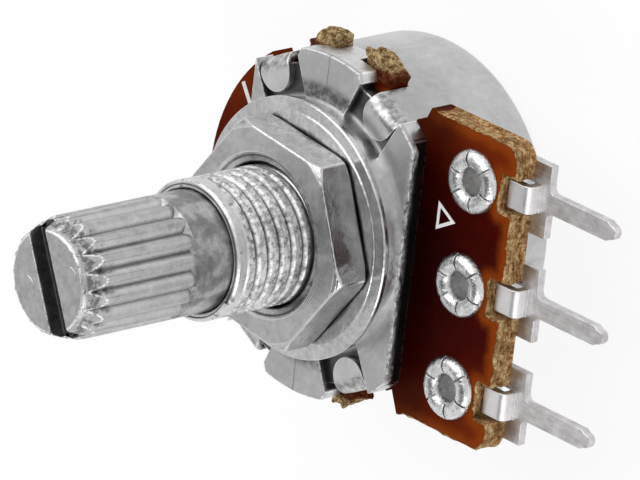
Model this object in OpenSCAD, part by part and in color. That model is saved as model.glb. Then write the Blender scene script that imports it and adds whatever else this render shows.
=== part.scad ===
// Rotary potentiometer with a threaded bushing, a knurled metal shaft and three flat pins.
// +Z runs along the shaft to its tip and the origin is on the shaft axis, in the face of the
// boss that seats against a panel. The pins point to -Y and the row of pins runs along X.

/* [Shaft] */
// Diameter of the shaft
shaft_d = 6; // [5.5:0.1:6.2]
// Distance from the panel seat to the tip of the shaft
shaft_len = 16; // [15:0.5:30]
// Number of teeth on the knurl
knurl_teeth = 18; // [12:1:24]
// Depth of each knurl groove
knurl_depth = 0.35; // [0.1:0.05:0.4]
// Length of the knurl, measured from the tip
knurl_len = 6.9; // [4:0.1:7.4]
// Length of the cone at the tip
tip_cone_len = 1.2; // [0.5:0.1:1.5]
// Radius lost over the cone at the tip
tip_cone_in = 0.4; // [0.2:0.05:0.5]
// Width of the screwdriver slot
slot_w = 1.2; // [0.8:0.1:1.4]
// Depth of the screwdriver slot
slot_depth = 0.9; // [0.5:0.1:1.5]
// Direction of the slot, counted from +X towards +Y
slot_angle = 27; // [0:1:90]
// Distance by which the rear end that carries the rotor is cut back from the shaft
tail_step = 0.8; // [0.6:0.05:1]

/* [Bushing and plate] */
// Wall of the bushing, from the bore to the thread crests
bushing_wall = 0.415; // [0.35:0.005:0.45]
// Distance from the panel seat to the front end of the bushing
bushing_len = 7; // [5:0.5:9]
// Distance from the round boss that seats against the panel out to the side of the case
rim_w = 2.15; // [2.05:0.05:2.3]
// Height of the boss above the front face of the plate
boss_h = 0.8; // [0.5:0.05:1]
// Thickness of the plate
plate_t = 1.2; // [1:0.05:1.5]
// Distance by which the round ends of the plate stand out past the case
plate_out = 0.3; // [0.2:0.05:0.5]
// Distance by which the straight side of the plate by the pins stands out past the boss
plate_side = 0.15; // [0.1:0.05:0.5]
// Distance by which the plate is cut in past the boss on the side away from the pins
plate_in = 1.1; // [0.8:0.05:1.2]
// Depth of the pockets in which the case tabs lie
pocket_depth = 0.4; // [0.3:0.05:0.5]
// Width of the wedge between two pockets, where it leaves the boss
wedge_w = 2.9; // [2.6:0.1:3.2]
// Half of the angle at which the sides of the wedge open
wedge_angle = 25; // [20:1:26]
// Thickness of the lip along the straight side by the pins
lip_t = 0.4; // [0.3:0.05:0.6]
// Distance by which the plate is cut back under the lip
lip_cut = 0.35; // [0.2:0.05:0.5]
// Width of the key that enters the end notch of the board
key_w = 1.6; // [1.2:0.1:1.7]

/* [Nut and washer] */
// Width of the nut across its flats
nut_af = 10; // [9:0.5:11]
// Thickness of the nut
nut_t = 2; // [1.5:0.1:2.5]
// Width of the countersink in the front of the nut
nut_sink = 0.525; // [0.4:0.025:0.7]
// Turn of the nut about the shaft
nut_turn = 23.5; // [0:0.5:60]
// Distance by which the washer stands out past the boss
washer_out = 0.25; // [0:0.05:0.4]
// Thickness of the washer
washer_t = 0.5; // [0.4:0.05:0.6]
// Clearance of the washer around the thread
washer_play = 0.135; // [0.1:0.005:0.2]

/* [Board] */
// Thickness of the board
board_t = 1.25; // [1:0.05:1.6]
// Distance by which the round part of the board stands out past the case
board_out = 0.35; // [0.25:0.05:0.6]
// Distance from the outer eyelets to the sides of the board
board_side = 2.6; // [2.3:0.05:2.9]
// Distance from the row of eyelets to the edge with the pins
board_edge = 2.8; // [2.6:0.05:3.2]
// Corner radius of the board
board_corner = 1; // [0.5:0.1:1.5]
// Distance by which the ears stand out past the case
ear_out = 0.85; // [0.6:0.05:1.1]
// Width of the end notch between two ears
ear_gap = 1.9; // [1.8:0.1:2.2]

/* [Pins and eyelets] */
// Distance between neighbouring pins
pin_pitch = 5.3; // [5:0.05:5.4]
// Distance from the side of the case to the row of eyelets
eyelet_out = 1.05; // [0.9:0.05:1.3]
// Thickness of the sheet of the pins
pin_t = 0.45; // [0.3:0.05:0.6]
// Width of a pin
pin_w = 1; // [0.8:0.1:1.2]
// Distance by which the pins stand out past the board
pin_out = 5.65; // [4:0.05:8]
// Width of the shoulder of a pin
shoulder_w = 3.7; // [3.2:0.1:4]
// Distance by which the shoulder of a pin stands out past the board
shoulder_out = 1.05; // [0.8:0.05:1.3]
// Width of the lug that stands in the notch of the board
lug_w = 1.4; // [1.2:0.1:1.5]
// Width of the notch
notch_w = 1.7; // [1.6:0.1:2]
// Depth of the notch
notch_depth = 0.95; // [0.8:0.05:1.1]
// Distance from the front of the board down to the lug
lug_low = 0.45; // [0.3:0.05:0.6]
// Outer diameter of the eyelet tube
eyelet_d = 1.9; // [1.8:0.05:2]
// Bore of the eyelet
eyelet_bore = 1.3; // [1.2:0.05:1.4]
// Diameter of the rolled flange of the eyelet
flange_d = 3.2; // [3:0.1:3.3]
// Height of the rolled flange
flange_h = 0.45; // [0.35:0.05:0.6]
// Number of splits in the rolled flange
splits = 6; // [4:1:8]

/* [Case] */
// Clearance between the rotor and the side of the case
rotor_gap = 0.8; // [0.3:0.05:1]
// Wall of the case
case_t = 0.4; // [0.3:0.05:0.45]
// Distance from the back of the board to the rear face
case_h = 5.8; // [5.6:0.1:7]
// Outer radius of the rear edge
case_round = 0.8; // [0.6:0.1:1.2]
// Width of a case tab
tab_w = 2.1; // [1.8:0.1:2.2]
// Distance from the boss to the end of a folded tab
tab_gap = 0.35; // [0.2:0.05:0.5]
// Angle of the tabs on either side of the X axis
tab_angle = 29; // [28:0.5:30]

/* [Rotor] */
// Travel of the shaft from stop to stop, in degrees
travel = 300; // [270:5:300]
// Thickness of the rotor disc
rotor_t = 1.4; // [1.2:0.1:1.6]
// Distance from the rotor disc to the board
rotor_drop = 1.15; // [1:0.05:1.4]
// Wall of the rotor hub outside the shaft
hub_wall = 0.4; // [0.3:0.05:0.5]
// Width of the resistive track
track_w = 1; // [0.8:0.05:1.2]
// Width of the collector ring
collector_w = 0.55; // [0.4:0.05:0.7]

/* [Hidden] */
$fn = 64;
eps = 0.01;
over = 1;

bore_gap = 0.05;
thread_gap = 0.06;
slide_gap = 0.1;
end_play = 0.05;
ink_gap = 0.2;

bore_d = shaft_d + 2 * bore_gap;
bushing_d = bore_d + 2 * bushing_wall;
ring_d = shaft_d + 2;
ring_t = 0.45;
ring_groove_d = shaft_d - 1.1;
ring_lip = 0.35;
hub_d = shaft_d + 2 * hub_wall;
tail_d = shaft_d - 2 * tail_step;
tail_cut = 0.35;
tail_flat = tail_d / 2 - tail_cut;
tail_cham = 0.15;
tail_room = 0.3;

stop_gap = 0.15;
stop_w = 0.8;
stop_in = ring_d / 2 + stop_gap;
stop_out = stop_in + stop_w;
stop_lug = 20;
stop_play = 2;
stop_block = 360 - travel - stop_lug - stop_play;
stop_angle = 180;

board_hole_d = 2 * (stop_out + stop_gap);
collector_in = board_hole_d / 2 + ink_gap;
collector_out = collector_in + collector_w;
track_in = collector_out + ink_gap + slide_gap;
track_out = track_in + track_w;
track_gap = 52;
track_t = 0.03;
silver_t = 0.04;
strip_w = 0.9;

rotor_edge = 0.05;
rotor_d = 2 * (track_out + rotor_edge);
case_inner = rotor_d / 2 + rotor_gap;
case_d = 2 * (case_inner + case_t);
boss_d = case_d - 2 * rim_w;
plate_d = case_d + 2 * plate_out;
plate_low = boss_d / 2 + plate_side;
plate_high = boss_d / 2 - plate_in;
washer_d = boss_d + 2 * washer_out;
washer_hole_d = bushing_d + 2 * washer_play;
board_d = case_d + 2 * board_out;
board_w = 2 * (pin_pitch + board_side);
ear_reach = case_d / 2 + ear_out;
eyelet_y = case_d / 2 + eyelet_out;
board_reach = eyelet_y + board_edge;
pin_reach = board_reach + pin_out;
tab_end = boss_d / 2 + tab_gap;

plate_front = -boss_h;
plate_back = plate_front - plate_t;
pocket_z = plate_front - pocket_depth;
board_back = plate_back - board_t;
case_rear = board_back - case_h;
washer_top = washer_t;
nut_top = washer_top + nut_t;
nut_cham = 0.4;
bushing_cham = 0.35;
pad_cut = 0.4;
boss_cham = 0.08;
washer_edge = 0.12;
ring_front = plate_back - end_play;
groove_rear = ring_front - ring_t - end_play;
hub_front = groove_rear - end_play;
rotor_front = board_back - rotor_drop;
rotor_back = rotor_front - rotor_t;
hub_rear = case_rear + case_t + slide_gap;
tail_end = hub_rear + tail_room;
stop_z = board_back + ink_gap;

arm_t = 0.18;
arm_w = 0.7;
arm_lift = 0.03;
arm_turn = 23;
carrier_in = ring_d / 2 + ink_gap;
carrier_span = 150;
rest_angle = 90 - travel / 2;
contact_r = 0.3;
contact_end = 0.5;
stake_d = 0.9;
stake_head_d = 1.4;
stake_head_t = 0.15;
stake_spread = 45;

tab_bend = 0.75;
window_w = 2 * pin_pitch + 2 * ink_gap;
window_h = 0.95;
knurl_root = shaft_d / 2 - knurl_depth;
knurl_flat = 0.12;
knurl_steps = 4;
knurl_run_out = 35;
tip_edge = 0.12;
lug_out = 0.5;
lug_reach = board_reach + lug_out;
lug_bend = 0.42;
split_w = 0.1;
split_turn = 12;
back_flange_d = 2.7;
back_flange_h = 0.3;
pad_r = 1.75;
pad_neck = 1.4;
roll_edge = 0.12;
roll_steps = 8;
pin_tip_len = 0.6;
pin_tip_r = 0.36;
pin_fillet = 0.35;
board_neck_in = 1.1;
board_slope_y = eyelet_y - 3.35;
board_neck_y = board_slope_y - 0.5;
ear_half = 3.5;
ear_tip = 1.9;
ear_step = 0.55;

// A ring sector between two radii, centred on an angle
module sector(r_in, r_out, width, centre, h) {
    rotate([0, 0, centre - width / 2])
        rotate_extrude(angle = width, $fn = 96)
            translate([r_in, 0]) square([r_out - r_in, h]);
}

// A point turned about the shaft axis
function turned(p, a) = [p[0] * cos(a) - p[1] * sin(a), p[0] * sin(a) + p[1] * cos(a)];

// Places its children at the four case tabs
module at_tabs() {
    for (end = [0, 180], side = [-1, 1])
        rotate([0, 0, end + side * tab_angle]) children();
}

// The outline of a plate with round ends and two straight sides, of which the one by the pins
// lies at a distance low from the axis
module plate_outline(low) {
    intersection() {
        circle(d = plate_d, $fn = 128);
        translate([-plate_d, -low]) square([2 * plate_d, low + plate_high]);
    }
}

// The half of the boss away from the pins, which goes down to the back of the plate
module boss_outline() {
    intersection() {
        circle(d = boss_d, $fn = 128);
        translate([-boss_d, 0]) square([2 * boss_d, boss_d]);
    }
}

// One pocket beside a case tab: it runs from the side of the wedge, round the boss, to the
// far side of the tab
module pocket_outline() {
    far = plate_d / 2 + 2 * over;
    root = boss_d / 2;
    side = tab_w / 2 + slide_gap;
    tilt = asin((root * sin(wedge_angle) - wedge_w / 2 * cos(wedge_angle)) / (plate_d / 2));
    difference() {
        union() {
            polygon([[root - over, wedge_w / 2 - over * tan(wedge_angle)],
                [far, wedge_w / 2 + (far - root) * tan(wedge_angle)],
                turned([far, side], tab_angle), turned([root - over / 2, side], tab_angle)]);
            rotate(wedge_angle - tilt)
                translate([plate_d / 2, 0])
                    polygon([[-pad_cut, -pad_cut * tan(tilt)], [0, -pad_cut], [over, -pad_cut],
                        [over, over], [-pad_cut, over]]);
        }
        circle(d = boss_d, $fn = 128);
    }
}

// The pocket and the gap that it leaves in the rim for the leg of the case
module pocket() {
    translate([0, 0, pocket_z]) linear_extrude(plate_t) pocket_outline();
    translate([0, 0, plate_back - eps])
        linear_extrude(plate_t)
            difference() {
                pocket_outline();
                circle(r = case_inner - slide_gap, $fn = 128);
            }
}

module bushing_plate() {
    color("gainsboro")
    difference() {
        union() {
            translate([0, 0, plate_back])
                linear_extrude(plate_t - lip_t)
                    union() {
                        plate_outline(plate_low - lip_cut);
                        boss_outline();
                    }
            translate([0, 0, plate_front - lip_t])
                linear_extrude(lip_t) plate_outline(plate_low);
            rotate_extrude($fn = 128)
                polygon([[0, plate_front - lip_t], [boss_d / 2, plate_front - lip_t],
                    [boss_d / 2, -boss_cham], [boss_d / 2 - boss_cham, 0], [bushing_d / 2, 0],
                    [bushing_d / 2, bushing_len - bushing_cham],
                    [bushing_d / 2 - bushing_cham / 2, bushing_len], [0, bushing_len]]);
            for (end = [0, 180])
                rotate([0, 0, end])
                    translate([case_inner, -key_w / 2, board_back + slide_gap])
                        cube([plate_d / 2 - case_inner - slide_gap, key_w, board_t]);
            translate([0, 0, stop_z])
                sector(stop_in, stop_out, stop_block, stop_angle, plate_back - stop_z + eps);
        }
        translate([0, 0, plate_back - over])
            cylinder(d = bore_d, h = bushing_len - plate_back + 2 * over, $fn = 96);
        for (end = [0, 180], side = [0, 1]) rotate([0, 0, end]) mirror([0, side, 0]) pocket();
    }
}

module washer() {
    out = washer_d / 2;
    color("silver")
    rotate_extrude($fn = 128)
        polygon([[washer_hole_d / 2, 0], [out - washer_edge, 0], [out, washer_edge],
            [out, washer_t - washer_edge], [out - washer_edge, washer_t],
            [washer_hole_d / 2, washer_t]]);
}

module hex_nut() {
    corner = nut_af / 2 / cos(30);
    rise = nut_cham * tan(30);
    hole = bushing_d / 2 + thread_gap;
    color("silver")
    difference() {
        intersection() {
            translate([0, 0, washer_top])
                rotate([0, 0, nut_turn]) cylinder(r = corner, h = nut_t, $fn = 6);
            rotate_extrude($fn = 96)
                polygon([[0, washer_top], [corner - nut_cham, washer_top],
                    [corner, washer_top + rise], [corner, nut_top - rise],
                    [corner - nut_cham, nut_top], [0, nut_top]]);
        }
        translate([0, 0, washer_top - over]) cylinder(r = hole, h = nut_t + 2 * over, $fn = 96);
        translate([0, 0, nut_top - nut_sink])
            rotate_extrude($fn = 96)
                polygon([[0, 0], [hole, 0], [hole + nut_sink + eps, nut_sink + eps],
                    [0, nut_sink + eps]]);
    }
}

// One knurl groove between two round-topped teeth: a narrow valley along the shaft, whose rear
// end slopes out
module knurl_groove() {
    rear = shaft_len - knurl_len;
    flank = shaft_d / 2 * sin(180 / knurl_teeth) - knurl_flat / 2;
    lift = shaft_d / 2 * cos(180 / knurl_teeth) - knurl_root;
    inner = knurl_root - over;
    outer = shaft_d / 2 + over;
    steps = [1 : knurl_steps];
    rising = [for (i = steps) [knurl_root + lift * (1 - pow(1 - i / knurl_steps, 2)),
        flank * i / knurl_steps]];
    falling = [for (i = steps) rising[knurl_steps - i]];
    intersection() {
        translate([0, 0, rear - over])
            linear_extrude(knurl_len + 2 * over)
                polygon(concat([[knurl_root, 0]], [for (p = rising) [p[0], -p[1]]],
                    [[outer, -flank - over], [outer, flank + over]], falling));
        translate([0, shaft_d / 2, 0])
            rotate([90, 0, 0])
                linear_extrude(shaft_d)
                    polygon([[inner, rear + (shaft_d / 2 - inner) * tan(knurl_run_out)],
                        [outer, rear - over * tan(knurl_run_out)],
                        [outer, shaft_len + over], [inner, shaft_len + over]]);
    }
}

module shaft() {
    tip_r = shaft_d / 2 - tip_cone_in;
    color("gainsboro")
    difference() {
        rotate_extrude($fn = 96)
            polygon([[0, tail_end], [tail_d / 2 - tail_cham, tail_end],
                [tail_d / 2, tail_end + tail_cham], [tail_d / 2, hub_front],
                [shaft_d / 2, hub_front], [shaft_d / 2, groove_rear],
                [ring_groove_d / 2, groove_rear], [ring_groove_d / 2, ring_front],
                [shaft_d / 2, ring_front], [shaft_d / 2, shaft_len - tip_cone_len],
                [tip_r, shaft_len - tip_edge], [tip_r - tip_edge, shaft_len], [0, shaft_len]]);
        for (i = [0 : knurl_teeth - 1])
            rotate([0, 0, slot_angle + (i + 0.5) * 360 / knurl_teeth]) knurl_groove();
        rotate([0, 0, slot_angle])
            translate([-shaft_d, -slot_w / 2, shaft_len - slot_depth])
                cube([2 * shaft_d, slot_w, slot_depth + over]);
        for (side = [0, 180])
            rotate([0, 0, side])
                translate([tail_flat, -shaft_d, tail_end - over])
                    cube([shaft_d, 2 * shaft_d, hub_front - tail_end + over]);
    }
}

// The open ring that snaps into the groove behind the plate
module retaining_ring() {
    color("dimgray")
    translate([0, 0, ring_front - ring_t - end_play / 2])
        difference() {
            cylinder(d = ring_d, h = ring_t, $fn = 96);
            translate([0, 0, -over])
                cylinder(d = ring_groove_d, h = ring_t + 2 * over, $fn = 96);
            translate([0, ring_lip - ring_groove_d / 2, -over])
                cube([ring_d, ring_groove_d - 2 * ring_lip, ring_t + 2 * over]);
        }
}

// Places its children at the two stakes that hold the wiper on the rotor
module at_stakes() {
    for (side = [-1, 1])
        rotate([0, 0, rest_angle + arm_turn + carrier_span / 2 + side * stake_spread])
            translate([(carrier_in + track_out) / 2, 0, rotor_front]) children();
}

// The rotor's front hub passes through the board, and its rear hub runs on the case
module rotor() {
    lug_angle = stop_angle + (stop_block + stop_play + stop_lug) / 2;
    color("saddlebrown")
    difference() {
        union() {
            translate([0, 0, rotor_back]) cylinder(d = rotor_d, h = rotor_t, $fn = 96);
            translate([0, 0, hub_rear]) cylinder(d = hub_d, h = hub_front - hub_rear, $fn = 96);
            translate([0, 0, rotor_front - eps])
                sector(shaft_d / 2, stop_out - slide_gap, stop_lug, lug_angle,
                    hub_front - rotor_front + eps);
            at_stakes() {
                translate([0, 0, -eps]) cylinder(d = stake_d, h = arm_t + stake_head_t, $fn = 32);
                translate([0, 0, arm_t]) cylinder(d = stake_head_d, h = stake_head_t, $fn = 32);
            }
        }
        intersection() {
            translate([0, 0, hub_rear - over])
                cylinder(d = tail_d, h = hub_front - hub_rear + 2 * over, $fn = 96);
            translate([-tail_flat, -shaft_d, hub_rear - over])
                cube([2 * tail_flat, 2 * shaft_d, hub_front - hub_rear + 2 * over]);
        }
    }
}

// One spring arm of the wiper: it rises clockwise from the carrier and ends in a bead, which
// stands under the middle of its track at a radius
module wiper_arm(radius, under) {
    along = radius * sin(arm_turn);
    top = under - arm_lift;
    low = top - contact_r;
    rotate([0, 0, rest_angle + arm_turn])
        mirror([0, 1, 0])
            translate([radius * cos(arm_turn) - arm_w / 2, 0, 0])
                rotate([90, 0, 90])
                    linear_extrude(arm_w)
                        polygon([[-contact_r, rotor_front], [0, rotor_front],
                            [along - contact_r, low - arm_t], [along, top - arm_t],
                            [along + contact_end, low - arm_t], [along + contact_end, low],
                            [along, top], [along - contact_r, low],
                            [0, rotor_front + arm_t], [-contact_r, rotor_front + arm_t]]);
}

module wiper() {
    color("goldenrod")
    union() {
        difference() {
            translate([0, 0, rotor_front])
                sector(carrier_in, track_out, carrier_span,
                    rest_angle + arm_turn + carrier_span / 2, arm_t);
            at_stakes()
                translate([0, 0, -over])
                    cylinder(d = stake_d + bore_gap, h = arm_t + 2 * over, $fn = 32);
        }
        wiper_arm((track_in + track_out) / 2, board_back - track_t);
        wiper_arm((collector_in + collector_out) / 2, board_back - silver_t);
    }
}

// The notches in the rim through which the case legs pass
module leg_notches() {
    w = tab_w + 2 * slide_gap;
    at_tabs() translate([case_inner - slide_gap, -w / 2]) square([plate_d, w]);
}

// The board: a disc with two ears at each end and an extension that carries the pins
module board_outline() {
    half = board_w / 2;
    neck = half - board_neck_in;
    inner = case_inner - slide_gap;
    difference() {
        union() {
            circle(d = board_d, $fn = 128);
            translate([-neck, -board_reach + board_corner]) square([2 * neck, board_reach / 2]);
            for (side = [-1, 1])
                translate([side * (half - board_corner), -board_reach + board_corner])
                    circle(r = board_corner);
            translate([board_corner - half, -board_reach])
                square([2 * (half - board_corner), board_reach / 2]);
            polygon([[-half, -board_reach + board_corner],
                [half, -board_reach + board_corner], [half, -board_slope_y],
                [neck, -board_neck_y], [-neck, -board_neck_y], [-half, -board_slope_y]]);
            for (end = [0, 180])
                rotate([0, 0, end])
                    polygon([[inner, -ear_half], [board_d / 2 - ear_step, -ear_half],
                        [ear_reach, -ear_tip], [ear_reach, ear_tip],
                        [board_d / 2 - ear_step, ear_half], [inner, ear_half]]);
        }
        for (end = [0, 180])
            rotate([0, 0, end]) translate([inner, -ear_gap / 2]) square([ear_reach, ear_gap]);
        leg_notches();
        circle(d = board_hole_d, $fn = 96);
        for (i = [-1 : 1]) {
            translate([i * pin_pitch, -eyelet_y]) circle(d = eyelet_d, $fn = 48);
            translate([i * pin_pitch - notch_w / 2, -board_reach - over])
                square([notch_w, notch_depth + over]);
        }
    }
}

module board() {
    color("saddlebrown")
    translate([0, 0, board_back]) linear_extrude(board_t) board_outline();
}

// The track: a ring with a gap on the side of the pins
module track_outline() {
    far = 2 * track_out;
    difference() {
        circle(r = track_out, $fn = 96);
        circle(r = track_in, $fn = 96);
        polygon([[0, 0], [-far * tan(track_gap / 2), -far], [far * tan(track_gap / 2), -far]]);
    }
}

module resistive_track() {
    color("black")
    translate([0, 0, board_back - track_t]) linear_extrude(track_t) track_outline();
}

// The silver ring that the inner arm rides on, with its strip to the middle pin
module collector() {
    color("lightgray")
    translate([0, 0, board_back - silver_t])
        linear_extrude(silver_t)
            difference() {
                union() {
                    circle(r = collector_out, $fn = 96);
                    translate([-strip_w / 2, -eyelet_y]) square([strip_w, eyelet_y - collector_in]);
                }
                circle(r = collector_in, $fn = 96);
                translate([0, -eyelet_y]) circle(r = pad_r, $fn = 48);
            }
}

// A silver strip from one end of the track to an outer pin
module end_contact(side) {
    r = (track_in + track_out) / 2;
    x = r * sin(track_gap / 2);
    y = -r * cos(track_gap / 2);
    color("lightgray")
    translate([0, 0, board_back - silver_t])
        linear_extrude(silver_t)
            difference() {
                polygon([[side * (x - strip_w / 2), y], [side * (x + strip_w / 2), y + slide_gap],
                    [side * (pin_pitch + strip_w / 2), -eyelet_y + pad_r / 2],
                    [side * (pin_pitch - strip_w / 2), -eyelet_y + pad_r / 2]]);
                track_outline();
                circle(r = track_in, $fn = 96);
                translate([side * pin_pitch, -eyelet_y]) circle(r = pad_r, $fn = 48);
            }
}

// The flat outline of a pin with its shoulder and the pad around the eyelet
module terminal_outline() {
    edge = board_reach + shoulder_out;
    taper = -pin_reach + pin_tip_len;
    difference() {
        union() {
            translate([0, -eyelet_y]) circle(r = pad_r, $fn = 48);
            translate([-pad_neck, -board_reach]) square([2 * pad_neck, board_reach - eyelet_y]);
            translate([-shoulder_w / 2, -edge]) square([shoulder_w, shoulder_out + notch_depth]);
            translate([-pin_w / 2 - pin_fillet, -edge - pin_fillet])
                square([pin_w + 2 * pin_fillet, pin_fillet + eps]);
            polygon([[-pin_w / 2, -edge], [-pin_w / 2, taper], [-pin_tip_r, pin_tip_r - pin_reach],
                [pin_tip_r, pin_tip_r - pin_reach], [pin_w / 2, taper], [pin_w / 2, -edge]]);
            translate([0, pin_tip_r - pin_reach]) circle(r = pin_tip_r, $fn = 32);
        }
        translate([0, -eyelet_y]) circle(d = eyelet_d, $fn = 48);
        for (side = [-1, 1])
            translate([side * (pin_w / 2 + pin_fillet), -edge - pin_fillet])
                circle(r = pin_fillet, $fn = 32);
    }
}

// The lug: the sheet is folded forward through the notch and back over the board's edge
module terminal_lug() {
    front = plate_back - lug_low;
    back = board_back - pin_t;
    inner = board_reach - notch_depth + bore_gap;
    translate([-lug_w / 2, 0, 0])
        rotate([90, 0, 90])
            linear_extrude(lug_w)
                difference() {
                    union() {
                        translate([lug_bend - lug_reach, back])
                            square([lug_reach - inner - lug_bend, front - back]);
                        translate([-lug_reach, back])
                            square([lug_bend + eps, front - back - lug_bend]);
                        translate([lug_bend - lug_reach, front - lug_bend])
                            circle(r = lug_bend, $fn = 32);
                    }
                    translate([pin_t - lug_reach, back - eps])
                        square([lug_reach - inner - pin_t + eps, front - back - pin_t]);
                }
}

module terminal(i) {
    color("lightgray")
    translate([i * pin_pitch, 0, 0])
        union() {
            difference() {
                translate([0, 0, board_back - pin_t]) linear_extrude(pin_t) terminal_outline();
                translate([-lug_w / 2, -lug_reach + pin_t, board_back - pin_t - over])
                    cube([lug_w, notch_depth + lug_out - bore_gap - pin_t, pin_t + 2 * over]);
            }
            terminal_lug();
        }
}

// Hollow eyelet: a tube through the pin and the board with a rolled, split flange in front
module eyelet(i) {
    tube = eyelet_d / 2;
    bore = eyelet_bore / 2;
    middle = (flange_d + eyelet_bore) / 4;
    half = (flange_d - eyelet_bore) / 4;
    back = back_flange_d / 2;
    foot = board_back - pin_t;
    color("silver")
    translate([i * pin_pitch, -eyelet_y, 0])
        difference() {
            rotate_extrude($fn = 64)
                polygon(concat([[bore, foot - back_flange_h],
                    [back - roll_edge, foot - back_flange_h],
                    [back, foot - roll_edge], [back, foot], [tube, foot], [tube, plate_back]],
                    [for (i = [0 : roll_steps]) [middle + half * cos(180 * i / roll_steps),
                        plate_back + flange_h * sin(180 * i / roll_steps)]]));
            for (k = [0 : splits - 1])
                rotate([0, 0, split_turn + k * 360 / splits])
                    translate([bore + roll_edge, -split_w / 2, plate_back + roll_edge])
                        cube([flange_d, split_w, over]);
        }
}

// The profile of one leg and its folded tab, in the plane of the radius and Z
module tab_profile() {
    out = case_d / 2;
    top = pocket_z + case_t;
    difference() {
        union() {
            translate([out - case_t, board_back - over])
                square([case_t, top - tab_bend - board_back + over]);
            translate([boss_d / 2, pocket_z]) square([out - tab_bend - boss_d / 2, case_t]);
            translate([out - tab_bend, top - tab_bend])
                intersection() {
                    circle(r = tab_bend, $fn = 64);
                    square(tab_bend);
                }
        }
        translate([out - tab_bend, top - tab_bend]) circle(r = tab_bend - case_t, $fn = 48);
    }
}

module case_tab() {
    end_r = tab_w / 2;
    intersection() {
        translate([0, tab_w / 2, 0]) rotate([90, 0, 0]) linear_extrude(tab_w) tab_profile();
        translate([0, 0, case_rear]) cylinder(d = case_d, h = -case_rear, $fn = 128);
        translate([0, 0, case_rear])
            linear_extrude(-case_rear)
                union() {
                    translate([tab_end + end_r, 0]) circle(r = end_r, $fn = 48);
                    translate([tab_end + end_r, -end_r]) square([case_d, tab_w]);
                }
    }
}

module case() {
    out = case_d / 2;
    color("lightgray")
    union() {
        difference() {
            rotate_extrude($fn = 128)
                difference() {
                    union() {
                        translate([0, case_rear]) square([out - case_round, case_h]);
                        translate([0, case_rear + case_round]) square([out, case_h - case_round]);
                        intersection() {
                            translate([out - case_round, case_rear + case_round])
                                circle(r = case_round, $fn = 64);
                            translate([0, case_rear]) square([out, case_h]);
                        }
                    }
                    translate([-over, case_rear + case_t]) square([out - case_round + over, case_h]);
                    translate([-over, case_rear + case_round]) square([case_inner + over, case_h]);
                    translate([out - case_round, case_rear + case_round])
                        circle(r = case_round - case_t, $fn = 48);
                }
            translate([-window_w / 2, -case_d, board_back - window_h])
                cube([window_w, case_d, window_h + over]);
        }
        at_tabs() case_tab();
    }
}

bushing_plate();
washer();
hex_nut();
shaft();
retaining_ring();
rotor();
wiper();
board();
resistive_track();
collector();
end_contact(1);  // end_contact_1
end_contact(-1);  // end_contact_3
terminal(1);  // terminal_1
terminal(0);  // terminal_2
terminal(-1);  // terminal_3
eyelet(1);  // eyelet_1
eyelet(0);  // eyelet_2
eyelet(-1);  // eyelet_3
case();
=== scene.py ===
import bmesh
import bpy
import math
from mathutils import Matrix, Vector, kdtree, noise


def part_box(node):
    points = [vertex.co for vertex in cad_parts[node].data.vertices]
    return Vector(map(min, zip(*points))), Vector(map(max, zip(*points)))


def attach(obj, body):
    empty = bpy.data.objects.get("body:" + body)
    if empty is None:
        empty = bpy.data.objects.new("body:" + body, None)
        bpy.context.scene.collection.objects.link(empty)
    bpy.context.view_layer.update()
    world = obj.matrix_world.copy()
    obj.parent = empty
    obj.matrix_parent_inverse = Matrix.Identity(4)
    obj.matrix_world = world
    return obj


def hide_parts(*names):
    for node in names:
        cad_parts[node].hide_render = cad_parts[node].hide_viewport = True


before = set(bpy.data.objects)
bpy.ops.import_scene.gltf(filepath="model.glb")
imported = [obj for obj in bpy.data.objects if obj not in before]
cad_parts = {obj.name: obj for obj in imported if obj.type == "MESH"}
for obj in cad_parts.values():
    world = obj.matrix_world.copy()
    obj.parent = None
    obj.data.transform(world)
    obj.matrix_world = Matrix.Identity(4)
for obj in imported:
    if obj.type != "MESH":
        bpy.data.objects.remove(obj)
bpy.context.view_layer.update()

# Sizes are in metres, unless a comment says millimetres
MM = 0.001

# Corners within MERGE are one, edges past SHARP are sharp, and faces within FLAT are one
MERGE = 0.0005 * MM
SHARP = math.radians(28)
FLAT = math.radians(0.5)

# The shaft's axis, and the height at which a panel sits
AXIS = Vector((0, 0, 1))
CENTRE = Vector((0, 0, 0))
PANEL_SEAT = 0.0

# Steps of a full ring and of a rounded edge
FULL_TURN = 2 * math.pi
RING_STEPS = 96
EDGE_SEGMENTS = 2

# Camera of the photograph. Its lens and sensor are in millimetres
CAMERA_AT = Vector((139.5, -268.9, 261.3)) * MM
LOOK_AT = Vector((-0.47, -0.88, -0.66)) * MM
IMAGE_UP = Vector((0.9308, 0.3275, -0.1622))
LENS = 465.2
SENSOR_WIDTH = 36

# Floor: its half width, its white, and how much of that white is a glow of its own
FLOOR_REACH = 20
FLOOR_WHITE = (0.9, 0.9, 0.9, 1)
FLOOR_ROUGHNESS = 0.9
FLOOR_GLOW = 0.86

# Room: its greys from the horizon, 0, to overhead, 1
ROOM = ((0.05, 1.0), (0.35, 0.8), (0.48, 0.6), (0.6, 1.0), (0.74, 0.95), (0.86, 0.3), (1.0, 0.12))

# Lamps: name, place, size and watts
LAMPS = (("key", Vector((0.35, 0.1, 0.45)), 0.6, 2.0),
         ("side", Vector((-0.3, -0.35, 0.3)), 0.25, 0.6))

# Bushing: its bore and wall, the tube that carries the thread, and the plain band at its front
BORE = 3.05 * MM
BORE_WALL = 0.415 * MM
CUT_ABOVE_BOSS = 0.1 * MM
TUBE_FOOT = -0.5 * MM
FRONT_BAND = 0.55 * MM
BAND_SLOPE = 0.1 * MM
FRONT_CHAMFER = 0.1 * MM
MOUTH_CHAMFER = 0.06 * MM

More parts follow.
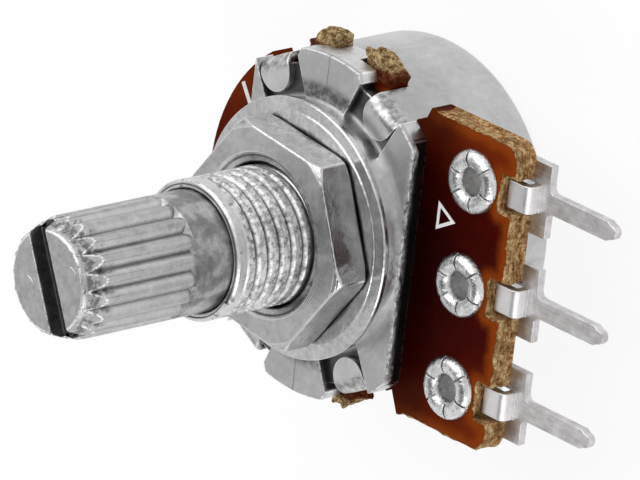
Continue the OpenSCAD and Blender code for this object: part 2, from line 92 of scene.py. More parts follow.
# Thread: the section of its ridge, and where the ridge starts and ends
THREAD_PITCH = 0.75 * MM
THREAD_DEPTH = 0.18 * MM
THREAD_CREST = 0.46 * MM
THREAD_ROUND = 0.05 * MM
THREAD_GAP = 0.02 * MM
THREAD_SUNK = 0.05 * MM
THREAD_BELOW_BAND = 0.01 * MM
THREAD_START = 0.3 * MM
THREAD_INTO_BAND = 0.35 * MM
THREAD_STEPS = 72

# Rounded edges with a painted highlight: the width of their round, and the height above which they lie
PLATE_GLINT_ROUND = 0.06 * MM
PLATE_BACK = -2.1 * MM
SHAFT_GLINT_ROUND = 0.06 * MM
KNURL_REAR = 9.5 * MM
CASE_GLINT_ROUND = 0.05 * MM
TAB_FOOT = -2.5 * MM
NUT_GLINT_ROUND = 0.1 * MM
NUT_SEGMENTS = 3

# Round edges without a painted highlight
PIN_EDGE = 0.05 * MM
EYELET_EDGE = 0.025 * MM
WASHER_EDGE = 0.035 * MM

# Washer: its hole, its flat top, and the step and slopes outside the flat
WASHER_HOLE = 3.6 * MM
WASHER_FLAT = 5.82 * MM
WASHER_DROP = 0.1 * MM
WASHER_STEP_SHARE = 0.7
WASHER_SLOPE = 0.08 * MM
WASHER_FOOT = 0.1 * MM
WASHER_STEPS = 128

# Ring in the nut's countersink: its outline as radius and depth under the nut's face, in millimetres
NUT_MOUTH = ((3.58, 0.6), (3.58, 0.24), (3.7, 0.2), (3.95, 0.15), (4.2, 0.04), (4.2, 0.6))

# Slot in the shaft's tip: its direction, and its floor and half width in millimetres
SLOT_ANGLE = math.radians(27)
SLOT_FLOOR = 15.1
SLOT_HALF = 0.62

# Ejector marks on the shaft's tip
MARK_RADIUS = 0.6 * MM
MARK_AT = 1.62 * MM
MARK_HEIGHT = 0.02 * MM
MARK_TAPER = 0.9
MARK_STEPS = 40

# Board: the cells it is cut into, its torn edges and its ears
DICE = 0.25 * MM
DICE_ROWS = 7
UPRIGHT = 0.5
TORN_FROM_Y = -6.4 * MM
TORN_DEPTH = 0.2 * MM
TORN_MEAN = 0.5
TORN_SWING = 0.7
TORN_HALO = 1.0 * MM
HOLE_CLEARANCE = 1.2 * MM
ROUNDED = 0.45 * MM
ROUNDED_LEAST = 0.3
EAR_FROM = 8.0 * MM
EAR_SMOOTHING = 5
EAR_LUMP = 0.3 * MM
EAR_SINK = 0.5
EAR_FOOT = 0.4 * MM

# Seed of the ears' lumps, without which noise_vector draws others in every run
EAR_SEED = 1796025331

# Sizes of the random forms on the board's edges
WAVES = 0.8 * MM
COARSE = 0.7 * MM
FINE = 0.35 * MM

# Printed marks on the board. The bar's length and width are in millimetres
PRINT_THICKNESS = 0.02 * MM
PRINT_SUNK = 0.005 * MM
TRIANGLE_RADIUS = 0.85 * MM
TRIANGLE_LINE = 0.17 * MM
TRIANGLE_TURN = math.radians(-60)
TRIANGLE_AT = Vector((2.85, -7.72, 0)) * MM
BAR_SIZE = Vector((1.3, 0.26, 1))
BAR_TURN = math.radians(35)
BAR_AT = Vector((4.3, 6.7, 0)) * MM

# Colour of the highlight painted on rounded metal edges
EDGE_GLINT_WHITE = (0.95, 0.95, 0.95)

# Sockets of the colour Mix node
MIX_SHARE = 0
MIX_LOW = 6
MIX_HIGH = 7
MIX_RESULT = 2


def grey(level):
    """A colour of one level, without hue."""
    return (level, level, level)


class Nodes:
    """A node tree, whose nodes all come from one method."""

    def __init__(self, tree):
        self.tree = tree

    def node(self, kind, settings=None, inputs=None):
        """Adds a node: its settings first, then the values or links of its sockets."""
        made = self.tree.nodes.new(kind)
        for name, value in (settings or {}).items():
            if name == "stops":
                self.set_stops(made.color_ramp, value)
            else:
                setattr(made, name, value)
        for name, value in (inputs or {}).items():
            self.feed(made.inputs[name], value)
        return made

    def feed(self, socket, value):
        """Links a field or an output to a socket, or sets the socket's own value."""
        if isinstance(value, Field):
            value = value.socket
        if isinstance(value, bpy.types.NodeSocket):
            self.tree.links.new(value, socket)
        else:
            socket.default_value = value

    def set_stops(self, ramp, stops):
        """Gives a ramp its (place, colour) stops."""
        while len(ramp.elements) < len(stops):
            ramp.elements.new(0.5)
        for element, (place, colour) in zip(ramp.elements, stops):
            element.position = place
            element.color = (*colour, 1)

    def ramp(self, field, *stops):
        """A colour that follows a field through stops."""
        return self.node("ShaderNodeValToRGB", {"stops": stops}, {"Fac": field}).outputs["Color"]


class Finish(Nodes):
    """A material with one Principled shader, whose patterns are written as expressions."""

    def __init__(self, name, metallic=0.0, **constants):
        self.material = bpy.data.materials.new(name)
        self.material.use_nodes = True
        super().__init__(self.material.node_tree)
        self.shader = self.tree.nodes["Principled BSDF"]
        self.shader.inputs["Metallic"].default_value = metallic
        for socket, value in constants.items():
            self.shader.inputs[socket.replace("_", " ")].default_value = value
        place = self.node("ShaderNodeTexCoord").outputs["Object"]
        in_mm = self.node("ShaderNodeVectorMath", {"operation": "SCALE"}, {0: place, "Scale": 1 / MM})
        self.place = in_mm.outputs["Vector"]
        parts = self.node("ShaderNodeSeparateXYZ", {}, {0: self.place}).outputs
        self.x, self.y, self.z = (Field(self, part) for part in parts)
        self.radius = (self.x * self.x + self.y * self.y).root()

    def clouds(self, size, detail=3, stretch=(1, 1, 1), roughness=0.5, shift=0.0):
        """Soft random patches from 0 to 1, about size millimetres across."""
        inputs = {"Vector": self.place, "Scale": [s / size for s in stretch], "Location": [shift] * 3}
        mapping = self.node("ShaderNodeMapping", {}, inputs)
        inputs = {"Vector": mapping.outputs[0], "Scale": 1, "Detail": detail, "Roughness": roughness}
        return Field(self, self.node("ShaderNodeTexNoise", {}, inputs).outputs["Fac"])

    def attribute(self, name):
        """A number stored on the piece's own mesh."""
        return Field(self, self.node("ShaderNodeAttribute", {"attribute_name": name}).outputs["Fac"])

    def mix(self, share, low, high):
        """A colour between two others."""
        low, high = ((*c, 1) if isinstance(c, tuple) else c for c in (low, high))
        inputs = {MIX_SHARE: share, MIX_LOW: low, MIX_HIGH: high}
        return self.node("ShaderNodeMix", {"data_type": "RGBA"}, inputs).outputs[MIX_RESULT]

    def greys(self, field, dark, light):
        """A grey that follows a field from dark to light."""
        return self.ramp(field, (0.3, (dark, dark, dark * 1.01)), (0.7, (light, light, light)))

    def set(self, colour, roughness, height=None, depth=0.01):
        """Feeds what varies over the surface. depth is the height's size in millimetres."""
        self.feed(self.shader.inputs["Base Color"], colour)
        self.feed(self.shader.inputs["Roughness"], roughness)
        if height is not None:
            bump = self.node("ShaderNodeBump", {}, {"Height": height, "Distance": depth * MM})
            self.feed(self.shader.inputs["Normal"], bump.outputs["Normal"])
        return self.material


class Field:
    """A number that varies over a surface, so that sums and products of it add Math nodes."""

    def __init__(self, nodes, socket):
        self.nodes = nodes
        self.socket = socket

    def math(self, operation, *values):
        """A Math node's result from fields and plain numbers."""
        made = self.nodes.node("ShaderNodeMath", {"operation": operation}, dict(enumerate(values)))
        return Field(self.nodes, made.outputs[0])

    def __add__(self, other):
        return self.math("ADD", self, other)

    def __sub__(self, other):
        return self.math("SUBTRACT", self, other)

    def __rsub__(self, other):
        return self.math("SUBTRACT", other, self)

    def __mul__(self, other):
        return self.math("MULTIPLY", self, other)

    def __abs__(self):
        return self.math("ABSOLUTE", self)

    __radd__ = __add__
    __rmul__ = __mul__

    def larger(self, other):
        """The larger of two."""
        return self.math("MAXIMUM", self, other)

    def sine(self):
        """The sine, in radians."""
        return self.math("SINE", self)

    def root(self):
        """The square root."""
        return self.math("SQRT", self)

    def between(self, low, high):
        """0 at low, 1 at high, and smooth in between. low may be the larger."""
        settings = {"interpolation_type": "SMOOTHSTEP"}
        inputs = {"Value": self, "From Min": low, "From Max": high}
        return Field(self.nodes, self.nodes.node("ShaderNodeMapRange", settings, inputs).outputs[0])


# Finishes. Patterns and masks are in millimetres, and a mask is named for the place that it picks out


def cast_zinc():
    """Die-cast zinc of the plate and bushing: cloudy satin, a speckled thread and a rough lip, with
    painted shade in its creases, corners and gaps, and a painted highlight on its rounded edges.
    """
    f = Finish("cast_zinc", metallic=1.0)
    patches = f.clouds(1.3, 4, roughness=0.6)
    mottle = f.clouds(0.4, 3, roughness=0.6, shift=2)
    grain = f.clouds(0.09, 3, roughness=0.65)
    speckle = f.clouds(0.27, 4, roughness=0.62, shift=4)
    line = abs(f.y + 0.05 * (f.clouds(0.9, 2) - 0.5)).between(0.03, 0.012)
    parting = line * f.radius.between(6.4, 6.5) * f.z.between(-1.1, -1.0)
    thread = f.radius.between(3.7, 3.6) * f.z.between(2.2, 2.4) * f.z.between(6.35, 6.25)
    # Painted shade at the thread's roots
    root = thread * f.radius.between(3.4, 3.27)
    lip = f.y.between(-6.1, -6.35)
    # Painted shade, in patches, in the corner between the boss and the pads
    boss_corner_shade = f.radius.between(7.4, 6.9) * f.radius.between(6.3, 6.4) * abs(f.y).between(2.8, 2.4)
    boss_corner_shade = boss_corner_shade * mottle.between(0.22, 0.62) * f.z.between(-0.12, -0.2)
    pits = f.clouds(0.4, 4, roughness=0.7, shift=8).between(0.56, 0.68) * f.z.between(2.2, 2.4)
    # Painted shadow on the plate's side under the lip
    under_lip = f.y.between(-5.9, -6.0) * f.z.between(-1.12, -1.22)
    shade = patches * 0.45 + mottle * 0.35 + grain * 0.2
    pads = f.radius.between(6.6, 6.9) * f.z.between(-1.1, -1.0)
    # Painted shade on the walls and floors of the pockets round the tabs
    pocket = f.z.between(-0.86, -1.08) * f.radius.between(6.2, 6.5) * f.radius.between(8.3, 8.15)
    # Painted shade in a ring on the bushing's front beside the shaft
    mouth = f.radius.between(3.2, 3.23) * f.radius.between(3.3, 3.27) * f.z.between(6.4, 6.45)
    stain = pads * (patches.between(0.3, 0.65) * 0.35 + 0.2)
    cast = f.mix(stain, f.greys(shade, 0.48, 0.78), grey(0.3))
    rough_cast = f.ramp(speckle * 0.7 + patches * 0.3, (0.36, grey(0.06)), (0.58, grey(0.95)))
    colour = f.mix((thread * 0.7).larger(lip * 0.9), cast, rough_cast)
    # The parting line and the pits are the cast's own marks; the other dark marks here are painted shade
    dark = (parting * 0.6).larger(root * 0.85).larger(boss_corner_shade * 0.75).larger(under_lip * 0.97)
    dark = dark.larger(pocket * 0.9).larger(mouth * 0.85).larger(pits * 0.6)
    colour = f.mix(dark, colour, (0.05, 0.045, 0.045))
    # Painted highlight on the rounded edges, in patches, and not on the lip
    worn = f.attribute("worn") * mottle.between(0.4, 0.5) * (1 - lip)
    colour = f.mix(worn * 0.8, colour, EDGE_GLINT_WHITE)
    rough = 0.22 + 0.2 * patches + 0.1 * grain + thread * 0.15
    height = grain * 0.4 + mottle + patches * 1.4 - parting * 2 + speckle * (thread * 1.5 + lip * 4)
    return f.set(colour, rough, height, 0.022)


def shaft_zinc():
    """Die-cast zinc of the shaft: cloudy, with painted shade in the slot and the knurl's valleys,
    painted light on the knurl's flanks, a painted highlight line in the slot, and painted highlights on
    its rounded edges from the knurl to the tip.
    """
    f = Finish("shaft_zinc", metallic=1.0)
    patches = f.clouds(0.7, 4, roughness=0.6)
    mottle = f.clouds(0.28, 3, roughness=0.6, shift=6)
    grain = f.clouds(0.07, 2)
    scuffs = f.clouds(0.3, 3, stretch=(1, 1, 0.2), roughness=0.7, shift=3)
    across = f.y * math.cos(SLOT_ANGLE) - f.x * math.sin(SLOT_ANGLE)
    # Painted shade in the slot, darkest on its floor
    slot = abs(across).between(SLOT_HALF + 0.03, SLOT_HALF) * f.z.between(SLOT_FLOOR - 0.05, SLOT_FLOOR)
    slot = slot * f.z.between(15.97, 15.8)
    on_knurl = f.z.between(9.15, 9.3) * f.z.between(15.1, 14.9)
    # Painted shade in the knurl's valleys
    valley = on_knurl * f.radius.between(2.8, 2.68)
    # Painted light on the middle of the knurl's flanks
    flank = on_knurl * f.radius.between(2.97, 2.85) * f.radius.between(2.62, 2.7)
    # Painted highlight along the slot's walls just above its floor
    line = slot * f.z.between(15.11, 15.14) * f.z.between(15.24, 15.2)
    slot_floor = slot * f.z.between(15.12, 15.1)
    # Painted highlight on the rounded edges, in patches
    worn = f.attribute("worn") * f.clouds(0.22, 3, roughness=0.7, shift=5).between(0.4, 0.5)
    neck = f.z.between(9.5, 9.3) * f.clouds(0.8, 4, shift=9).between(0.35, 0.65)
    shade = patches * 0.45 + mottle * 0.35 + scuffs * 0.2
    colour = f.greys(shade, 0.3, 0.6)
    colour = f.mix(flank * 0.3, colour, grey(0.8))
    colour = f.mix(worn * 0.9, colour, EDGE_GLINT_WHITE)
    pocked = f.z.between(13.9, 14.6) * f.z.between(15.85, 15.7) * f.radius.between(2.93, 2.8)
    pocked = pocked * f.clouds(0.35, 4, roughness=0.7, shift=11).between(0.42, 0.56)
    # The neck's and the tip's dark patches are the zinc's own; the slot, its floor and the knurl's
    # valleys are painted shade
    dark = (slot * 0.55).larger(valley * 0.35).larger(neck * 0.6).larger(pocked * 0.7)
    dark = dark.larger(slot_floor * 0.9)
    colour = f.mix(dark, colour, grey(0.05))
    colour = f.mix(line * 0.8, colour, grey(0.9))
    rough = 0.22 + 0.22 * patches + 0.08 * grain
    height = patches * 1.2 + mottle + grain * 0.25 + scuffs * 0.5
    return f.set(colour, rough, height, 0.022)


def nickel_nut():
    """Nickel plate of the nut: bright, with fine turning marks on its face, painted shade at its foot
    and in its bore, and a painted highlight on its rounded edges.
    """
    f = Finish("nickel_nut", metallic=1.0)
    patches = f.clouds(1.2, 4, roughness=0.6)
    mottle = f.clouds(0.35, 3, shift=3)
    turning = ((f.radius * 55 + patches * 5).sine() * 0.5 + 0.5) * f.z.between(2.3, 2.4)
    # Painted shade at the nut's foot, by the washer
    foot = f.z.between(0.68, 0.58)
    # Painted shade in the nut's bore
    sink = f.radius.between(3.68, 3.62)
    shade = patches * 0.6 + mottle * 0.4
    # Painted highlight on the rounded edges
    colour = f.mix(f.attribute("worn") * 0.35, f.greys(shade, 0.33, 0.53), grey(0.85))
    colour = f.mix((foot * 0.95).larger(sink * 0.9), colour, grey(0.03))
    rough = 0.14 + 0.18 * patches
    height = turning * 0.25 + patches * 1.5 + mottle
    return f.set(colour, rough, height, 0.02)


def nickel_washer():
    """Nickel plate of the washer: bright and cloudy, with painted shade by the nut."""
    f = Finish("nickel_washer", metallic=1.0)
    patches = f.clouds(1.0, 4, roughness=0.6)
    mottle = f.clouds(0.3, 3, shift=3)
    # Painted shade on the washer by the nut
    under_nut = f.radius.between(5.3, 5.1)
    shade = patches * 0.6 + mottle * 0.4
    colour = f.mix(under_nut * 0.8, f.greys(shade, 0.36, 0.66), grey(0.08))
    rough = 0.16 + 0.16 * patches
    return f.set(colour, rough, patches * 1.4 + mottle, 0.02)


def drawn_steel():
    """Plated sheet steel of the case: satin, with drawing marks, stretch marks at the bends that are
    darkened partly as painted shade, painted shade on its side below the board, and a painted highlight
    on its rounded edges.
    """
    f = Finish("drawn_steel", metallic=1.0)
    patches = f.clouds(2.0, 4)
    mottle = f.clouds(0.45, 3, shift=2)
    lines = f.clouds(0.35, 3, stretch=(1, 1, 0.05), roughness=0.6)
    bends = f.z.between(-2.1, -1.5) * f.z.between(-0.7, -0.9) * f.radius.between(7.5, 7.9)
    stretch = f.clouds(0.3, 3, stretch=(1, 1, 0.7), roughness=0.6)
    below = f.z.between(-1.95, -2.6)
    shade = patches * 0.45 + lines * 0.2 + mottle * 0.35
    colour = f.greys(shade, 0.44, 0.66)
    # Stretch marks at the bends, darkened further as painted shade over the bends' bright reflection
    colour = f.mix(bends * stretch.between(0.35, 0.65) * 0.7, colour, grey(0.12))
    colour = f.mix(below * lines.between(0.4, 0.7) * 0.2, colour, (0.25, 0.25, 0.26))
    # Painted shade on the case's side just below the board
    upper = f.z.between(-6.5, -3.0) * f.z.between(-1.5, -2.0)
    colour = f.mix(upper * 0.35, colour, grey(0.22))
    # Painted highlight on the rounded edges
    colour = f.mix(f.attribute("worn") * 0.6, colour, EDGE_GLINT_WHITE)
    rough = 0.24 + 0.14 * patches
    height = patches + lines * 0.2 + mottle * 0.5 + stretch * bends * 2
    return f.set(colour, rough, height, 0.018)


def pin_tin():
    """Tin plate of the pins, dull and a little pink, with a painted highlight on the lugs."""
    f = Finish("pin_tin", metallic=1.0)
    patches = f.clouds(0.7, 4, roughness=0.6)
    grain = f.clouds(0.06, 2)
    scratches = f.clouds(0.12, 2, stretch=(1, 0.1, 1), roughness=0.6)
    shade = patches * 0.7 + scratches * 0.3
    # Painted highlight on the pins' lugs
    lug = f.y.between(-12.9, -12.7) * f.z.between(-3.2, -3.0)
    tint = f.ramp(shade, (0.32, (0.42, 0.405, 0.405)), (0.66, (0.76, 0.74, 0.745)))
    tint = f.mix(lug * 0.6, tint, (0.95, 0.94, 0.94))
    rough = 0.26 + 0.18 * patches + 0.08 * grain
    return f.set(tint, rough, patches * 1.2 + grain * 0.3 + scratches * 0.3, 0.015)


def eyelet_tin():
    """Tin plate of the eyelets: bright on the roll, with grey painted shade inside the hollow."""
    f = Finish("eyelet_tin", metallic=1.0)
    patches = f.clouds(0.5, 4, roughness=0.6)
    mottle = f.clouds(0.18, 3, shift=2)
    # Painted grey shade inside the hollow, with a rougher surface
    inside = f.z.between(-1.9, -2.2)
    shade = patches * 0.6 + mottle * 0.4
    colour = f.mix(inside * 0.6, f.greys(shade, 0.42, 0.95), (0.5, 0.49, 0.48))
    rough = 0.18 + 0.16 * patches + inside * 0.3
    return f.set(colour, rough, patches * 1.4 + mottle * 1.4, 0.022)


def spring_steel():
    """Dark oiled steel of the retaining ring."""
    f = Finish("spring_steel", metallic=1.0)
    patches = f.clouds(0.7, 4)
    return f.set(f.greys(patches, 0.24, 0.4), 0.25 + 0.2 * patches, patches, 0.01)


def spring_brass():
    """Rolled brass of the wiper."""
    f = Finish("spring_brass", metallic=1.0)
    patches = f.clouds(1.1, 3)
    rolled = f.clouds(0.09, 3, stretch=(1, 0.08, 1))
    shade = patches * 0.6 + rolled * 0.4
    tint = f.ramp(shade, (0.3, (0.6, 0.43, 0.17)), (0.7, (0.8, 0.62, 0.3)))
    return f.set(tint, 0.22 + 0.2 * shade, rolled + patches, 0.008)


def moulded_brown():
    """Moulded brown phenolic of the rotor."""
    f = Finish("moulded_brown")
    specks = f.clouds(0.25, 4, roughness=0.7)
    patches = f.clouds(2.0, 3)
    tint = f.ramp(specks * 0.6 + patches * 0.4, (0.35, (0.12, 0.06, 0.03)), (0.65, (0.24, 0.13, 0.07)))
    return f.set(tint, 0.42 + 0.2 * patches, specks + patches, 0.01)


def carbon_ink():
    """Screened carbon ink of the track."""
    f = Finish("carbon_ink")
    grain = f.clouds(0.07, 4, roughness=0.7)
    tint = f.ramp(grain, (0.35, (0.015, 0.015, 0.016)), (0.65, (0.05, 0.05, 0.052)))
    return f.set(tint, 0.55 + 0.2 * grain, grain, 0.006)


def silver_ink():
    """Screened silver ink of the collector and contacts."""
    f = Finish("silver_ink", metallic=0.8)
    grain = f.clouds(0.08, 4, roughness=0.7)
    tint = f.ramp(grain, (0.35, (0.52, 0.51, 0.48)), (0.65, (0.76, 0.75, 0.72)))
    return f.set(tint, 0.4 + 0.2 * grain, grain, 0.006)


def phenolic_board():
    """Dark red-brown laminate with pale golden fibres where its edges are torn."""
    f = Finish("phenolic_board", Specular_IOR_Level=0.02)
    torn = f.attribute("torn")
    ragged = f.clouds(0.5, 4, stretch=(1, 1, 0.6), roughness=0.65, shift=1)
    reach = torn + (ragged - 0.5) * 0.5
    thin = reach.between(0.1, 0.8)
    fibre = reach.between(0.8, 0.88)
    patches = f.clouds(3.0, 3)
    weave = f.clouds(0.5, 4, stretch=(1, 0.3, 1), roughness=0.6)
    ends = abs(f.x).between(2.5, 7.5) * 0.5 + f.y.between(-7.5, -12.5) * 0.2 + f.y.between(3, 7) * 0.4
    shade = patches * 0.35 + weave * 0.2 + ends
    resin = f.ramp(shade, (0.2, (0.014, 0.0004, 0.0001)), (0.5, (0.045, 0.0015, 0.0003)),
                   (0.9, (0.13, 0.016, 0.0015)))
    tint = f.mix(thin, resin, (0.2, 0.035, 0.003))
    layers = f.clouds(0.2, 4, stretch=(0.4, 0.4, 1.6), roughness=0.7)
    tufts = f.clouds(0.24, 5, roughness=0.75, shift=2)
    paper = f.ramp(layers * 0.4 + tufts * 0.6, (0.38, (0.08, 0.028, 0.007)), (0.48, (0.3, 0.15, 0.055)),
                   (0.6, (0.64, 0.48, 0.26)))
    burnt = f.clouds(1.0, 3, shift=7).between(0.5, 0.64)
    ears = abs(f.x).between(8.0, 8.3)
    shadow = abs(f.x).between(8.7, 8.35) * abs(f.x).between(7.7, 7.8) * abs(f.y).between(4.6, 4.2)
    olive = f.mix(tufts.between(0.4, 0.62), (0.1, 0.055, 0.02), (0.62, 0.48, 0.26))
    paper = f.mix(ears * 0.7, f.mix(burnt * 0.5, paper, (0.12, 0.055, 0.02)), olive)
    rough = 0.36 + 0.12 * patches + fibre * 0.3
    height = (weave + patches) * 0.06 + fibre * (layers + tufts * 1.5)
    # Painted shade on the board beside the plate's lip
    near_plate = f.y.between(-9.0, -6.9) * f.y.between(-4.5, -5.5)
    tint = f.mix(near_plate * 0.6, tint, (0.008, 0.0004, 0.0001))
    colour = f.mix(shadow * 0.9, f.mix(fibre, tint, paper), (0.07, 0.006, 0.001))
    return f.set(colour, rough, height, 0.08)


def white_print():
    """White printed mark."""
    f = Finish("white_print")
    wear = f.clouds(0.12, 4, roughness=0.7)
    tint = f.ramp(wear, (0.3, (0.6, 0.58, 0.58)), (0.6, grey(0.82)))
    return f.set(tint, 0.5 + 0.1 * wear, wear, 0.004)


# Helpers that the pieces share


def node_copy(name):
    """A merged copy of a CAD node's mesh, with its flat faces in one piece where they can be."""
    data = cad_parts[name].data.copy()
    stored = data.attributes.get("custom_normal")
    if stored:
        data.attributes.remove(stored)
    bm = bmesh.new()
    bm.from_mesh(data)
    bpy.data.meshes.remove(data)
    bmesh.ops.remove_doubles(bm, verts=bm.verts, dist=MERGE)
    bmesh.ops.dissolve_degenerate(bm, edges=bm.edges, dist=MERGE)
    bmesh.ops.dissolve_limit(bm, angle_limit=FLAT, verts=bm.verts, edges=bm.edges)
    return bm


def round_glint_edges(bm, width, above, segments=EDGE_SEGMENTS):
    """Rounds the outer sharp edges above a height, and marks the new faces for a painted highlight."""
    worn = bm.loops.layers.float.new("worn")
    bm.normal_update()
    edges = [e for e in bm.edges if e.is_convex and e.calc_face_angle(0) > SHARP
             and min(v.co.z for v in e.verts) > above]
    made = bmesh.ops.bevel(bm, geom=edges, offset=width, offset_type="OFFSET", affect="EDGES",
                           segments=segments, profile=0.5, material=-1, loop_slide=False)
    for face in made["faces"]:
        for loop in face.loops:
            loop[worn] = 1.0


def make_piece(bm, name, material, body, replaced=(), edge=0.0):
    """Turns a bmesh into a finished piece, whose sharp edges get a round as wide as edge, if any."""
    mesh = bpy.data.meshes.new(name)
    bm.to_mesh(mesh)
    bm.free()
    mesh.materials.append(material)
    mesh.shade_smooth()
    mesh.set_sharp_from_angle(angle=SHARP)
    piece = bpy.data.objects.new(name, mesh)
    bpy.context.scene.collection.objects.link(piece)
    if edge:
        bevel = piece.modifiers.new("edges", "BEVEL")
        bevel.width = edge
        bevel.segments = EDGE_SEGMENTS
        bevel.limit_method = "ANGLE"
        bevel.angle_limit = SHARP
        bevel.use_clamp_overlap = False
        bevel.harden_normals = True
    else:
        piece.modifiers.new("normals", "WEIGHTED_NORMAL").keep_sharp = True
    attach(piece, body)
    if replaced:
        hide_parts(*replaced)


def closed_ring(bm, points, steps=RING_STEPS):
    """Spins a closed outline of (radius, height) points full round."""
    verts = [bm.verts.new((r, 0, z)) for r, z in points]
    edges = [bm.edges.new(pair) for pair in zip(verts, verts[1:] + verts[:1])]
    bmesh.ops.spin(bm, geom=verts + edges, cent=CENTRE, axis=AXIS, angle=FULL_TURN, steps=steps,
                   use_merge=True, use_duplicate=False)
    outward(bm)


def outward(bm):
    """Merges what a spin left double and turns all faces outwards."""
    bmesh.ops.remove_doubles(bm, verts=bm.verts, dist=MERGE)
    bmesh.ops.recalc_face_normals(bm, faces=bm.faces)


def thread_ridge(crest, root, start, end):
    """The ridge of the thread: one section that climbs round the bushing, closed at both ends."""
    bm = bmesh.new()
    turns = (end - start) / THREAD_PITCH
    half = THREAD_PITCH / 2 - THREAD_GAP
    top = THREAD_CREST / 2
    base = root - THREAD_SUNK
    shoulder = crest - THREAD_ROUND
    section = [(base, -half), (root, -half), (shoulder, -top - THREAD_ROUND / 2),
               (crest, THREAD_ROUND - top), (crest, top - THREAD_ROUND),
               (shoulder, top + THREAD_ROUND / 2), (root, half), (base, half)]
    verts = [bm.verts.new((r, 0, start + z)) for r, z in section]
    face = bm.faces.new(verts)
    steps = round(turns * THREAD_STEPS)
    bmesh.ops.spin(bm, geom=[face] + face.edges[:] + verts, cent=CENTRE, axis=AXIS,
                   dvec=AXIS * ((end - start) / steps), angle=turns * FULL_TURN, steps=steps,
                   use_duplicate=False)
    outward(bm)
    return bm


def join(bm, other):
    """Adds another bmesh to this one."""
    mesh = bpy.data.meshes.new("joined")
    other.to_mesh(mesh)
    other.free()
    bm.from_mesh(mesh)
    bpy.data.meshes.remove(mesh)


def everything(bm):
    """All the corners, edges and faces of a bmesh."""
    return bm.verts[:] + bm.edges[:] + bm.faces[:]


# Pieces


def bushing_and_plate(material):
    """The plate as cast, with the bushing's plain tube cut off and a threaded one in its place."""
    bm = node_copy("bushing_plate")
    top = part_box("bushing_plate")[1].z
    crest = BORE + BORE_WALL
    root = crest - THREAD_DEPTH
    cut = bmesh.ops.bisect_plane(bm, geom=everything(bm), plane_co=AXIS * CUT_ABOVE_BOSS,
                                 plane_no=AXIS, clear_outer=True)
    rim = [e for e in cut["geom_cut"] if isinstance(e, bmesh.types.BMEdge)]
    bmesh.ops.bridge_loops(bm, edges=rim)
    round_glint_edges(bm, PLATE_GLINT_ROUND, PLATE_BACK)
    tube = bmesh.new()
    band = top - FRONT_BAND
    closed_ring(tube, [(BORE, TUBE_FOOT), (root, TUBE_FOOT), (root, band - BAND_SLOPE), (crest, band),
                       (crest, top - FRONT_CHAMFER), (crest - FRONT_CHAMFER, top),
                       (BORE + MOUTH_CHAMFER, top), (BORE, top - MOUTH_CHAMFER)])
    join(bm, tube)
    join(bm, thread_ridge(crest - THREAD_BELOW_BAND, root, THREAD_START, band + THREAD_INTO_BAND))
    make_piece(bm, "bushing_and_plate", material, "housing", ["bushing_plate"])


def knurled_shaft(material):
    """The shaft with its knurl and slot, and two ejector marks on its tip."""
    bm = node_copy("shaft")
    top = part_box("shaft")[1].z
    round_glint_edges(bm, SHAFT_GLINT_ROUND, KNURL_REAR)
    for side in (-1, 1):
        mark = bmesh.new()
        bmesh.ops.create_circle(mark, cap_ends=True, radius=MARK_RADIUS, segments=MARK_STEPS)
        made = bmesh.ops.extrude_face_region(mark, geom=mark.faces[:])
        raised = [v for v in made["geom"] if isinstance(v, bmesh.types.BMVert)]
        bmesh.ops.translate(mark, verts=raised, vec=AXIS * 2 * MARK_HEIGHT)
        bmesh.ops.scale(mark, verts=raised, vec=Vector((MARK_TAPER, MARK_TAPER, 1)))
        bmesh.ops.recalc_face_normals(mark, faces=mark.faces)
        along = Vector((-math.sin(SLOT_ANGLE), math.cos(SLOT_ANGLE), 0)) * side * MARK_AT
        bmesh.ops.translate(mark, verts=mark.verts, vec=along + AXIS * (top - MARK_HEIGHT))
        join(bm, mark)
    make_piece(bm, "knurled_shaft", material, "spindle", ["shaft"])


def plain_washer(material):
    """The washer: a stamped ring whose upper face falls in a step towards its rounded rim."""
    low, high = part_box("washer")
    out = high.x
    shelf = high.z - WASHER_DROP
    bm = bmesh.new()
    closed_ring(bm, [(WASHER_HOLE, low.z), (out - WASHER_FOOT, low.z), (out, low.z + WASHER_FOOT),
                     (out, shelf - WASHER_SLOPE), (out - WASHER_SLOPE, shelf),
                     (WASHER_FLAT + WASHER_SLOPE, high.z - WASHER_DROP * WASHER_STEP_SHARE),
                     (WASHER_FLAT, high.z), (WASHER_HOLE, high.z)], WASHER_STEPS)
    make_piece(bm, "plain_washer", material, "housing", ["washer"], WASHER_EDGE)


def bevelled_nut(material):
    """The hex nut with its edges rounded and marked for a painted highlight, and a shallow ring in its
    countersink.
    """
    bm = node_copy("hex_nut")
    round_glint_edges(bm, NUT_GLINT_ROUND, PANEL_SEAT, NUT_SEGMENTS)
    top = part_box("hex_nut")[1].z
    mouth = bmesh.new()
    closed_ring(mouth, [(radius * MM, top - depth * MM) for radius, depth in NUT_MOUTH])
    join(bm, mouth)
    make_piece(bm, "bevelled_nut", material, "housing", ["hex_nut"])


def folded_case(material):
    """The drawn case with its folded tabs, whose edges are rounded and marked for a painted highlight.
    """
    bm = node_copy("case")
    round_glint_edges(bm, CASE_GLINT_ROUND, TAB_FOOT)
    make_piece(bm, "folded_case", material, "housing", ["case"])


def rounded_copy(node, name, material, edge):
    """A housing node's own shape with rounded edges."""
    make_piece(node_copy(node), name, material, "housing", [node], edge)


def diced(bm, low, high):
    """Cuts the board into small cells, so that its edges can be torn."""
    for axis in range(3):
        direction = Vector([float(k == axis) for k in range(3)])
        length = high[axis] - low[axis]
        count = DICE_ROWS if axis == 2 else round(length / DICE)
        for k in range(1, count):
            bmesh.ops.bisect_plane(bm, geom=everything(bm), plane_no=direction, dist=MERGE,
                                   plane_co=direction * (low[axis] + k * length / count))
    bm.normal_update()


def upright(face):
    """Whether a face stands on edge rather than lying flat."""
    return abs(face.normal.z) < UPRIGHT


